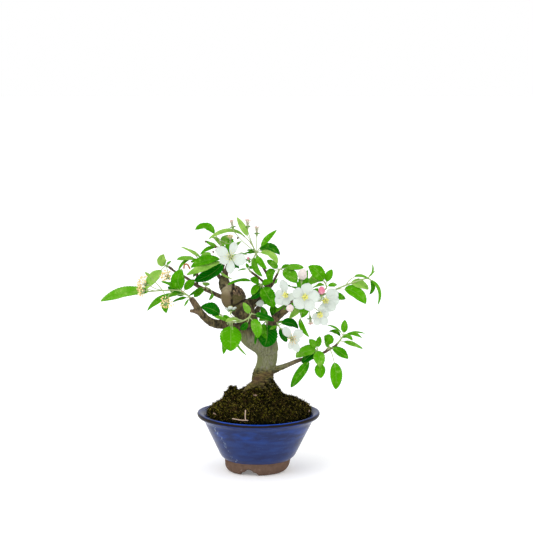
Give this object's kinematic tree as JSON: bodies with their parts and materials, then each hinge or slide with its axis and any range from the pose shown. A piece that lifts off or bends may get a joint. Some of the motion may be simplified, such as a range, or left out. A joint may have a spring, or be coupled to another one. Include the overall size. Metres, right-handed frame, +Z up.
{
  "type": "crabapple bonsai in a round glazed pot",
  "caption": "Flowering crabapple trained as a small leaning bonsai, with leafy shoots, white blossom and buds, set in a moss mound in a round glazed footed pot.",
  "frame": {"origin": "on the surface that the pot stands on, in the middle of the whole plant's width and depth; the pot's axis is 19.5 mm to the right of it", "axes": "+Z up, +X to the right along the tree's longest spread, -Y towards the viewing front"},
  "size_m": [0.3363, 0.15, 0.312],
  "materials": {
    "glaze": "glossy cobalt blue glaze, thin and dark brown at the rim, bare grey-brown stoneware on the foot band",
    "net": "matt black moulded net",
    "soil": "dark moist granular bonsai soil",
    "moss": "dense dark olive moss tufts with dry brown bits",
    "bark": "grey-brown lichened bark, dark and rough on the knob and the twigs",
    "leaf": "fresh green leaves with a light midrib, satin upper face and paler underside",
    "petal": "thin white petals, faintly veined, with a trace of pink",
    "stamen": "yellow anthers on pale filaments",
    "bud": "closed pink and white petals",
    "spent": "drying cream to orange-brown stamens"
  },
  "bodies": {
    "root": {"pot": "glaze", "drain_net": "net", "soil": "soil", "moss": "moss", "trunk": "bark", "shoot_left_tip": "leaf", "shoot_twig_tip": "leaf", "shoot_left_upper": "leaf", "shoot_crown": "leaf", "shoot_top_left": "leaf", "shoot_top": "leaf", "shoot_twig_mid": "leaf", "shoot_right_top": "leaf", "shoot_heart": "leaf", "shoot_front_shoot": "leaf", "shoot_trunk_front": "leaf", "shoot_right_cluster": "leaf", "shoot_right_under": "leaf", "shoot_right_fold": "leaf", "shoot_far_right": "leaf", "shoot_left_mid": "leaf", "shoot_knob_leaf": "leaf", "shoot_low_1": "leaf", "shoot_low_2": "leaf", "shoot_low_tip": "leaf", "shoot_back_mid": "leaf", "shoot_back_right": "leaf", "shoot_back_top": "leaf", "shoot_back_left": "leaf", "shoot_back_low": "leaf", "petals_1": "petal", "stamens_1": "stamen", "petals_2": "petal", "stamens_2": "stamen", "petals_3": "petal", "stamens_3": "stamen", "petals_4": "petal", "stamens_4": "stamen", "petals_5": "petal", "stamens_5": "stamen", "petals_6": "petal", "stamens_6": "stamen", "petals_7": "petal", "stamens_7": "stamen", "petals_8": "petal", "stamens_8": "stamen", "bud_1": "bud", "bud_2": "bud", "bud_3": "bud", "bud_4": "bud", "spent_flower_1": "spent", "spent_flower_2": "spent", "spent_flower_3": "spent", "spent_flower_4": "spent", "spent_flower_5": "spent", "spent_flower_6": "spent", "spent_flower_7": "spent", "spent_flower_8": "spent", "spent_flower_9": "spent"}
  },
  "joints": []
}
